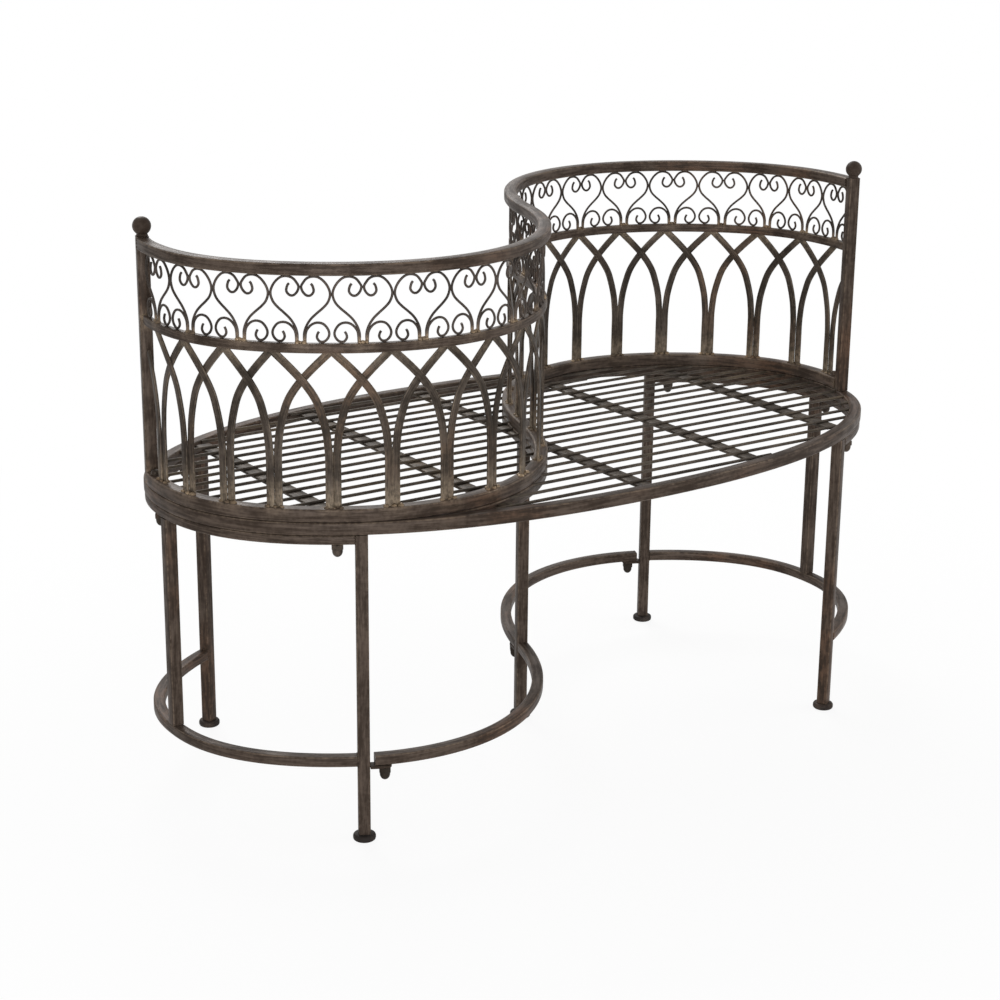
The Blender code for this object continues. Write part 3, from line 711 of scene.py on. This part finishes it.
def smoothLine(points, steps):
    # points on a smooth curve through the given ones
    found = []
    count = len(points)
    for i in range(count - 1):
        p = [Vector(points[max(0, min(count - 1, i + k))]) for k in (-1, 0, 1, 2)]
        for t in np.linspace(0.0, 1.0, steps, endpoint=False):
            square = 2 * p[0] - 5 * p[1] + 4 * p[2] - p[3]
            cube = 3 * p[1] - p[0] - 3 * p[2] + p[3]
            found.append(0.5 * (2 * p[1] + (p[2] - p[0]) * t + square * t ** 2 + cube * t ** 3))
    found.append(Vector(points[-1]))
    return [(p.x, p.y) for p in found]


def latticeBases():
    bases = [lattice["start"] + lattice["closePitch"] * k for k in range(lattice["closeCount"] + 1)]
    stop = backCurve.length - lattice["end"]
    steps = round((stop - bases[-1]) / lattice["pitch"])
    bases.extend(np.linspace(bases[-1], stop, steps + 1)[1:])
    return bases


def latticeRuns():
    wide, thick = bars["strip"]["height"], bars["strip"]["width"]
    low = levels["bottomRail"][1] + gap
    high = levels["midRail"][0] - gap
    line = smoothLine(lattice["line"], lattice["lineSteps"])
    bases = latticeBases()
    runs = []
    nearPost = postClear + wide * lattice["postShare"]
    for k, base in enumerate(bases):
        for way in (1, -1):
            other = k + way
            span = abs(bases[other] - base) if 0 <= other < len(bases) else lattice["pitch"]
            offset = wide / 2 + lattice["slit"]
            layer = -way * (thick / 2 - lattice["lap"])
            points, sides = [], []
            for u, v in line:
                s = base + way * (offset + u * (span - offset))
                if s < nearPost or s > backCurve.length - nearPost:
                    break
                side = backCurve.side(s)
                points.append(backCurve.at(s, low + v * (high - low)) + side * layer)
                sides.append(side)
            runs.append((points, sides, False))
        tangent, side = backCurve.tangent(base), backCurve.side(base)
        foot = backCurve.at(base, low)
        for across, out, size in lattice["footBeads"]:
            markWeld("bronze", foot + tangent * (across * wide) + side * out, up, size, lattice["footFlat"])
    return runs


# Seat grille: round rods along the length on five flat cross straps
grille = {
    "rodRadius": 0.0022,
    "rodMargin": 0.0213,
    "rodCount": 19,
    "strapInset": 0.1515,
    "strapCount": 5,
    "strapSink": 0.0006,
    "rodLap": 0.0010,  # how far a rod runs into the ring
    "rodPoints": 33,
    "strapPoints": 25,
    "ringPoints": 721,
    "sides": 10,
    "weldReach": 0.014,
    "endBead": {"inset": 0.0012, "drop": 0.0012, "radius": 0.0022, "flat": 0.6, "lean": 0.2},
}


def innerReach(level, axis):
    # how far from the middle the inside of the ring lies, at this level of the other axis
    edge = []
    for distance in np.linspace(0.0, ovalCurve.length, grille["ringPoints"]):
        p = ovalCurve.at(distance)
        inward = ovalCurve.side(distance) * bars["ring"]["width"] / 2
        edge.append(min((p + inward, p - inward), key=lambda q: q.length))
    found = []
    for a, b in zip(edge, edge[1:]):
        if (a[axis] - level) * (b[axis] - level) <= 0 and a[axis] != b[axis]:
            share = (level - a[axis]) / (b[axis] - a[axis])
            found.append(abs(a[1 - axis] + share * (b[1 - axis] - a[1 - axis])))
    return min(found)


def grilleRuns():
    radius = grille["rodRadius"]
    rodZ = levels["ring"][1] - radius
    strapZ = rodZ - radius + grille["strapSink"] - bars["strap"]["height"] / 2
    endBead = grille["endBead"]
    rods, straps = [], []
    reach = plan["halfDepth"] - bars["ring"]["width"] / 2 - grille["rodMargin"]
    for y in np.linspace(-reach, reach, grille["rodCount"]):
        end = innerReach(abs(y) + radius * 0.5, 1) + grille["rodLap"]
        points = [Vector((x, y, rodZ)) for x in np.linspace(-end, end, grille["rodPoints"])]
        rods.append((points, [up] * len(points), False))
        for x in (-end, end):
            inside = -math.copysign(1.0, x)
            place = (x + inside * endBead["inset"], y, rodZ - endBead["drop"])
            markWeld("plain", place, (inside, 0.0, endBead["lean"]), endBead["radius"], endBead["flat"])
    reach = plan["halfLength"] - grille["strapInset"]
    for x in np.linspace(-reach, reach, grille["strapCount"]):
        end = innerReach(abs(x) + bars["strap"]["width"] / 2, 0)
        points = [Vector((x, y, strapZ)) for y in np.linspace(-end, end, grille["strapPoints"])]
        straps.append((points, [Vector((1.0, 0.0, 0.0))] * len(points), False))
    return rods, straps


# Under-frame places on the oval and on the S
legPlaces = {
    "end": ovalCurve.nearest(-plan["halfLength"], 0.0),
    "far": ovalCurve.nearest(plan["legX"], ovalY(plan["legX"])),
    "near": ovalCurve.nearest(plan["legX"], -ovalY(plan["legX"])),
}
nearOnBack = backCurve.nearest(plan["legX"], -ovalY(plan["legX"]))


def halfTurn(v):
    # about the vertical
    return Vector((-v.x, -v.y, v.z))


def turnedRun(run):
    points, sides, closed = run
    return [halfTurn(p) for p in points], [halfTurn(s) for s in sides], closed


# Seams: small beads around a bar's end where it meets an upright
seam = {
    "across": (-0.66, -0.1, 0.52),  # shares of the half width and half height
    "height": (-0.5, 0.1, 0.6),
    "inset": 0.94,
    "radius": 0.0017,
    "flat": 0.7,
}


def seamWelds(kind, curve, distance, way, section):
    place, side = curve.at(distance, midZ(section)), curve.side(distance)
    outward = curve.tangent(distance) * way
    wide, tall = bars[section]["width"] / 2, bars[section]["height"] / 2
    rows = ((seam["across"], side * wide, up * tall, up), (seam["height"], up * tall, side * wide, side))
    for shares, along, over, out in rows:
        for share in shares:
            for edge in (-1, 1):
                spot = place + along * share + over * (edge * seam["inset"])
                markWeld(kind, spot, out * edge + outward, seam["radius"], seam["flat"])


# Points along each kind of bar
steps = {
    "rail": 300, "post": 60, "ring": 320, "divider": 160,
    "endLeg": 40, "leg": 48, "arc": 120, "stretcher": 90,
}
backEnd = backCurve.length - postClear
runs = {}
rails = {"backTopRail": "topRail", "backMidRail": "midRail", "backBottomRail": "bottomRail"}
for name, level in rails.items():
    runs[name] = [curveRun(backCurve, postClear, backEnd, midZ(level), steps["rail"])]
ends = (0.0, backCurve.length)
runs["endPosts"] = [uprightRun(backCurve, s, *levels["post"], steps["post"]) for s in ends]
runs["ovalRing"] = [curveRun(ovalCurve, 0.0, ovalCurve.length, midZ("ring"), steps["ring"], True)]
runs["seatBar"] = [curveRun(backCurve, middle - dividerReach, middle + dividerReach,
                            midZ("ring"), steps["divider"])]
legRuns = [uprightRun(ovalCurve, legPlaces["end"], *levels["endLeg"], steps["endLeg"])]
for label in ("far", "near"):
    legRuns.append(uprightRun(ovalCurve, legPlaces[label], *levels["leg"], steps["leg"]))
runs["frameLegs"] = legRuns + [turnedRun(run) for run in legRuns]
runs["frameLegs"].append(uprightRun(backCurve, middle, *levels["centreLeg"], steps["leg"]))
farSide, nearSide = legPlaces["far"] + legHalf, legPlaces["near"] - legHalf
for label, level in (("seatArcs", "arc"), ("endStretchers", "stretcher")):
    one = curveRun(ovalCurve, farSide + gap, nearSide - gap, midZ(level), steps["arc"])
    runs[label] = [one, turnedRun(one)]
one = curveRun(backCurve, nearOnBack + legHalf + stretcherEndGap, middle - legHalf - gap,
               midZ("stretcher"), steps["stretcher"])
runs["middleStretcher"] = [one, turnedRun(one)]
for section, kind in (("topRail", "plain"), ("midRail", "bronze"), ("bottomRail", "bronze")):
    for s, way in ((postClear, 1), (backEnd, -1)):
        seamWelds(kind, backCurve, s, way, section)
for section in ("arc", "stretcher"):
    for s, way in ((farSide, 1), (nearSide, -1)):
        spotsBefore = len(weldSpots["plain"])
        seamWelds("plain", ovalCurve, s, way, section)
        for place, out, radius, flat in weldSpots["plain"][spotsBefore:]:
            markWeld("plain", halfTurn(place), halfTurn(out), radius, flat)
friezeLines = friezeRuns()
latticeLines = latticeRuns()
rodLines, strapLines = grilleRuns()
print("lines set out,", {kind: len(spots) for kind, spots in weldSpots.items()}, "welds marked")

weldMarks = pointObject("weldMarks", [(s[0], (0, 0, 0), (1, 1, 1)) for s in weldSpots["bronze"]])

# How far a weld's heat shows on a bar, and the points around a thick or a flat section
barSweep = {"weldReach": 0.016, "points": 24, "flatPoints": 16}


def sweepBars(name, section, lines, metal, reach, points):
    size = bars[section]
    return runTree(lineObject(name, lines), barTree, metal, reach, {
        "Width": size["width"], "Height": size["height"], "Corner": size["corner"], "Points": points})


def sweepWires(name, lines, radius, sides, steps, metal, reach):
    return runTree(lineObject(name, lines), wireTree, metal, reach, {
        "Radius": radius, "Sides": sides, "Steps": steps})


def both(*names):
    return [way + name for name in names for way in ("left_", "right_")]


for name, section, nodes in (
    ("backTopRail", "topRail", both("top_rail")),
    ("backMidRail", "midRail", both("mid_rail")),
    ("backBottomRail", "bottomRail", both("bottom_rail")),
    ("endPosts", "post", both("post")),
    ("ovalRing", "ring", ["seat_ring"]),
    ("seatBar", "divider", ["seat_divider"]),
    ("frameLegs", "leg", both("end_leg", "near_leg", "far_leg") + ["centre_leg"]),
    ("seatArcs", "arc", both("end_frame_arc")),
    ("endStretchers", "stretcher", both("end_stretcher")),
    ("middleStretcher", "stretcher", ["near_centre_stretcher", "far_centre_stretcher"]),
):
    swept = sweepBars(name, section, runs[name], "barBrown", barSweep["weldReach"], barSweep["points"])
    settle(swept, "brown_bar_metal", *nodes)
print("bars swept")

scrolls = sweepWires("scrollWires", friezeLines, frieze["wireRadius"], frieze["sides"], frieze["steps"],
                     "scrollBrown", frieze["weldReach"])
settle(scrolls, "brown_scroll_metal", *both("scroll_frieze"))
strips = sweepBars("archStrips", "strip", latticeLines, "stripBrown",
                   lattice["weldReach"], barSweep["flatPoints"])
settle(strips, "brown_bar_metal", *both("arch_lattice"))
print("frieze and lattice made")


def joinPieces(name, pieces):
    # one mesh from several finished ones that share their metals
    made = bmesh.new()
    for piece in pieces:
        made.from_mesh(piece.data)
    data = bpy.data.meshes.new(name)
    made.to_mesh(data)
    made.free()
    for slotMetal in pieces[0].data.materials:
        data.materials.append(slotMetal)
    for piece in pieces:
        bpy.data.objects.remove(piece, do_unlink=True)
    return addToScene(name, data)


rods = sweepWires("rods", rodLines, grille["rodRadius"], grille["sides"], 1,
                  "seatBrown", grille["weldReach"])
straps = sweepBars("straps", "strap", strapLines, "seatBrown", grille["weldReach"], barSweep["flatPoints"])
settle(joinPieces("slattedSeat", [rods, straps]), "brown_seat_metal", *both("seat_grille"))
print("seat made")


# Turned and forged small parts
def circle(made, radius, height, sides):
    turns = [2 * math.pi * i / sides for i in range(sides)]
    return [made.verts.new((radius * math.cos(a), radius * math.sin(a), height)) for a in turns]


def bandFaces(made, rows):
    # faces between rings of points, of which the first or last may be a single point
    for low, high in zip(rows, rows[1:]):
        count = max(len(low), len(high))
        for j in range(count):
            k = (j + 1) % count
            if len(low) == 1:
                made.faces.new((low[0], high[k], high[j]))
            elif len(high) == 1:
                made.faces.new((low[j], low[k], high[0]))
            else:
                made.faces.new((low[j], low[k], high[k], high[j]))


def asPart(name, made):
    bmesh.ops.recalc_face_normals(made, faces=made.faces)
    data = bpy.data.meshes.new(name)
    made.to_mesh(data)
    made.free()
    return addToScene(name, data)


def lathe(name, profile, sides):
    made = bmesh.new()
    bandFaces(made, [circle(made, radius, height, sides if radius else 1) for radius, height in profile])
    return asPart(name, made)


smallReach = 0.010  # how far a weld's heat shows on a small part


def setOut(name, part, spots, metal):
    made = pointObject(name, spots)
    runTree(made, repeatTree, metal, smallReach, {"Part": part})
    bpy.data.objects.remove(part, do_unlink=True)
    return made


def placeParts(name, part, nodes, top, metal, slotName):
    # one at the middle of each node in plan, at its top or its bottom
    spots = []
    for node in nodes:
        low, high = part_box(node)
        place = ((low.x + high.x) / 2, (low.y + high.y) / 2, high.z if top else low.z)
        spots.append((place, (0, 0, 0), (1, 1, 1)))
    settle(setOut(name, part, spots, metal), slotName, *nodes)


# Finial: a ball on a short neck
finial = {
    "radius": 0.012,
    "neck": 0.0005,
    "sides": 32,
    "foot": (
        (0.0, 0.0), (0.0076, 0.0), (0.0077, 0.0003),
        (0.0073, 0.0012), (0.0070, 0.0021), (0.0070, 0.0026),
    ),
    "ball": (math.radians(38), math.radians(174), 18),  # from the neck nearly to the top, in rings
}


def finialProfile():
    radius = finial["radius"]
    centre = radius + finial["neck"]
    ball = [(radius * math.sin(a), centre - radius * math.cos(a)) for a in np.linspace(*finial["ball"])]
    return [*finial["foot"], *ball, (0.0, centre + radius)]


part = lathe("finialPart", finialProfile(), finial["sides"])
placeParts("ballFinials", part, both("finial"), False, "barBrown", "brown_bar_metal")

# Foot: a low round pad with a soft rim
foot = {
    "radius": 0.015,
    "height": 0.009,
    "sides": 32,
    "profile": (  # shares of the radius and of the height
        (0.0, 0.0), (0.80, 0.0), (0.90, 0.05), (0.97, 0.16), (1.0, 0.32), (1.0, 0.62),
        (0.98, 0.76), (0.93, 0.88), (0.84, 0.97), (0.78, 1.0), (0.0, 1.0),
    ),
}


def scaledProfile(sizes):
    return [(sizes["radius"] * r, sizes["height"] * h) for r, h in sizes["profile"]]


nodes = both("far_foot", "near_foot") + ["centre_foot"]
part = lathe("footPart", scaledProfile(foot), foot["sides"])
placeParts("roundFeet", part, nodes, False, "footDark", "dark_foot_metal")

# Dome nut: a six-sided nut and its dome, hung under what it clamps
nut = {
    "radius": 0.0085,
    "height": 0.0175,
    "body": 0.007,
    "dome": 0.0068,
    "shank": 0.0095,
    "domeSides": 24,
    "topBevel": (0.0006, 0.96),  # height, and share of the radius
    "lowBevel": (0.0008, 0.92),
    "domeRings": (0.12, 0.92, 7),  # from the shank to the tip, and how many
}


def nutPart():
    made = bmesh.new()
    body, shank, reach = nut["body"], nut["shank"], nut["height"] - nut["shank"]
    (topDrop, topShare), (lowRise, lowShare) = nut["topBevel"], nut["lowBevel"]
    edges = ((0.0, topShare), (-topDrop, 1.0), (lowRise - body, 1.0), (-body, lowShare))
    rows = [circle(made, nut["radius"] * share, z, 6) for z, share in edges]
    bandFaces(made, rows)
    made.faces.new(rows[0])
    made.faces.new(rows[-1])
    rings = [circle(made, nut["dome"], z, nut["domeSides"]) for z in (-body, -shank)]
    for share in np.linspace(*nut["domeRings"]):
        angle = share * math.pi / 2
        z = -shank - reach * math.sin(angle)
        rings.append(circle(made, nut["dome"] * math.cos(angle), z, nut["domeSides"]))
    rings.append(circle(made, 0.0, -nut["height"], 1))
    bandFaces(made, rings)
    made.faces.new(rings[0])
    return asPart("nutPart", made)


nodes = both("near_seat_nut", "end_seat_nut", "far_seat_nut")
nodes += ["near_tab_nut", "far_tab_nut", "centre_tab_nut"]
placeParts("domeNuts", nutPart(), nodes, True, "fastenerDark", "dark_fastener_metal")

# Rail bolt: a low domed head on a thin washer
railBolt = {
    "radius": 0.0065,
    "height": 0.007,
    "sides": 24,
    "profile": (
        (0.0, 0.0), (1.0, 0.0), (1.0, 0.13), (0.92, 0.17), (0.86, 0.20), (0.85, 0.42),
        (0.80, 0.62), (0.68, 0.80), (0.48, 0.93), (0.24, 0.99), (0.0, 1.0),
    ),
}

part = lathe("boltPart", scaledProfile(railBolt), railBolt["sides"])
placeParts("railBolts", part, both("rail_bolt"), False, "fastenerDark", "dark_fastener_metal")

# Tabs: short plates with a rounded end, welded to a leg under the stretcher
tabs = {"length": 0.028, "width": 0.015, "thickness": 0.004, "bevel": 0.0006, "endPoints": 15}


def tabPart():
    made = bmesh.new()
    w, length = tabs["width"] / 2, tabs["length"]
    outline = [(0.0, -w), (0.0, w)]
    turns = np.linspace(0.0, math.pi, tabs["endPoints"])
    outline += [(length - w + w * math.sin(a), w * math.cos(a)) for a in turns]
    face = made.faces.new([made.verts.new((x, y, 0.0)) for x, y in outline])
    grown = bmesh.ops.extrude_face_region(made, geom=[face])
    raised = [v for v in grown["geom"] if isinstance(v, bmesh.types.BMVert)]
    bmesh.ops.translate(made, verts=raised, vec=(0.0, 0.0, tabs["thickness"]))
    bmesh.ops.recalc_face_normals(made, faces=made.faces)  # the bevel needs them
    rims = [e for e in made.edges if abs(e.verts[0].co.z - e.verts[1].co.z) < 1e-6]
    bmesh.ops.bevel(made, geom=rims, offset=tabs["bevel"], segments=2, affect="EDGES")
    return asPart("tabPart", made)


def tabSpots():
    spots = []
    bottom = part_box("near_leg_tab")[0].z
    for s, way in ((nearOnBack, 1), (backCurve.length - nearOnBack, -1), (middle, 1)):
        tangent = backCurve.tangent(s) * way
        place = backCurve.at(s, bottom) + tangent * (legHalf + gap)
        spots.append((place, (0.0, 0.0, math.atan2(tangent.y, tangent.x)), (1, 1, 1)))
    return spots


settle(setOut("stretcherTabs", tabPart(), tabSpots(), "barBrown"), "brown_bar_metal",
       "near_leg_tab", "far_leg_tab", "centre_leg_tab")
print("small parts made")

# Weld beads: one lumpy bead, set out with a fixed seed
bead = {
    "shapeSeed": 7, "placeSeed": 11, "rows": 5, "sides": 8,
    "lump": 0.12, "spread": 0.25, "long": (0.85, 1.25),
}


def beadPart():
    made = bmesh.new()
    draw = random.Random(bead["shapeSeed"])
    sides, rows = bead["sides"], bead["rows"]
    rings = []
    for j in range(1, rows):
        angle = math.pi * j / rows
        ring = []
        for i in range(sides):
            lump = 1.0 + draw.uniform(-bead["lump"], bead["lump"])
            around = 2 * math.pi * (i + 0.5 * (j % 2)) / sides
            ring.append(made.verts.new((lump * math.sin(angle) * math.cos(around),
                                        lump * math.sin(angle) * math.sin(around), lump * math.cos(angle))))
        rings.append(ring)
    top, low = made.verts.new((0, 0, 1)), made.verts.new((0, 0, -1))
    bandFaces(made, [[top], *rings, [low]])
    return asPart("beadPart", made)


def beadSpots(kind):
    draw = random.Random(bead["placeSeed"])
    spots = []
    for place, out, radius, flat in weldSpots[kind]:
        turn = out.to_track_quat("Z", "Y").to_euler()
        turn.rotate_axis("Z", draw.uniform(0.0, math.pi))
        size = radius * (1.0 + draw.uniform(-bead["spread"], bead["spread"]))
        spots.append((place, turn, (size * draw.uniform(*bead["long"]), size, size * flat)))
    return spots


for kind, metal in (("bronze", "beadBronze"), ("plain", "barBrown")):
    settle(setOut(kind + "Beads", beadPart(), beadSpots(kind), metal), "brown_bar_metal")
bpy.data.objects.remove(weldMarks, do_unlink=True)
print("welds made")

# Studio: pale floor, soft light, white behind
studio = {
    "white": (1.0, 1.0, 1.0, 1.0),
    "floorSize": 14.0,
    "floorColour": (0.86, 0.86, 0.86),
    "floorRoughness": 0.9,
    "floorSpecular": 0.1,
    "floorGlow": (0.90, 1.0),
    "glowReach": (0.5, 1.6),
    "worldLight": 0.40,
    "lamps": (
        ("keyLamp", (-1.95, -2.95, 0.62), (2.2, 1.0), 64.0),
        ("fillLamp", (2.8, -1.6, 1.7), (2.2, 2.2), 32.0),
        ("backLamp", (0.6, 2.7, 2.6), (2.4, 1.6), 78.0),
        ("topLamp", (-0.4, 0.6, 3.2), (2.4, 2.4), 12.0),
    ),
    "aim": (0.0, 0.0, 0.40),
}


def backgroundRays(tree):
    # rays that see the white behind the bench
    path = put(tree, "ShaderNodeLightPath").outputs
    seen = calc(tree, "MAXIMUM", path["Is Glossy Ray"], path["Is Transmission Ray"])
    return calc(tree, "MAXIMUM", path["Is Camera Ray"], seen)


def makeFloor():
    data = bpy.data.meshes.new("paleFloor")
    s = studio["floorSize"]
    data.from_pydata([(-s, -s, 0), (s, -s, 0), (s, s, 0), (-s, s, 0)], [], [(0, 1, 2, 3)])
    floor = addToScene("paleFloor", data)
    made, tree, shader = newMaterial("palePaper")
    fill(tree, shader, {
        "Base Color": (*studio["floorColour"], 1.0), "Roughness": studio["floorRoughness"],
        "Specular IOR Level": studio["floorSpecular"]})
    glow = put(tree, "ShaderNodeEmission", None, {"Color": studio["white"], "Strength": 1.0})
    # the glow is weaker under the bench, where its shadow falls
    away = put(tree, "ShaderNodeVectorMath", {"operation": "LENGTH"},
               {0: put(tree, "ShaderNodeTexCoord").outputs["Object"]}).outputs["Value"]
    glowing = ramp(tree, away, *studio["glowReach"], *studio["floorGlow"])
    share = times(tree, backgroundRays(tree), glowing)
    mixed = put(tree, "ShaderNodeMixShader", None, {0: share, 1: shader.outputs[0], 2: glow.outputs[0]})
    fill(tree, tree.nodes["Material Output"], {"Surface": mixed.outputs[0]})
    data.materials.append(made)


def makeLight():
    world = bpy.data.worlds.new("studioWorld")
    bpy.context.scene.world = world
    world.use_nodes = True
    tree = world.node_tree
    seen = times(tree, backgroundRays(tree), 1.0 - studio["worldLight"])
    strength = plus(tree, studio["worldLight"], seen)
    fill(tree, tree.nodes["Background"], {"Color": studio["white"], "Strength": strength})
    for name, place, size, power in studio["lamps"]:
        data = bpy.data.lights.new(name, "AREA")
        data.shape = "ELLIPSE"
        data.size, data.size_y = size
        data.energy = power
        lamp = addToScene(name, data)
        lamp.location = place
        aim = Vector(studio["aim"]) - Vector(place)
        lamp.rotation_euler = aim.to_track_quat("-Z", "Y").to_euler()


makeFloor()
makeLight()
bpy.context.scene.view_settings.view_transform = "Standard"
print("studio set")
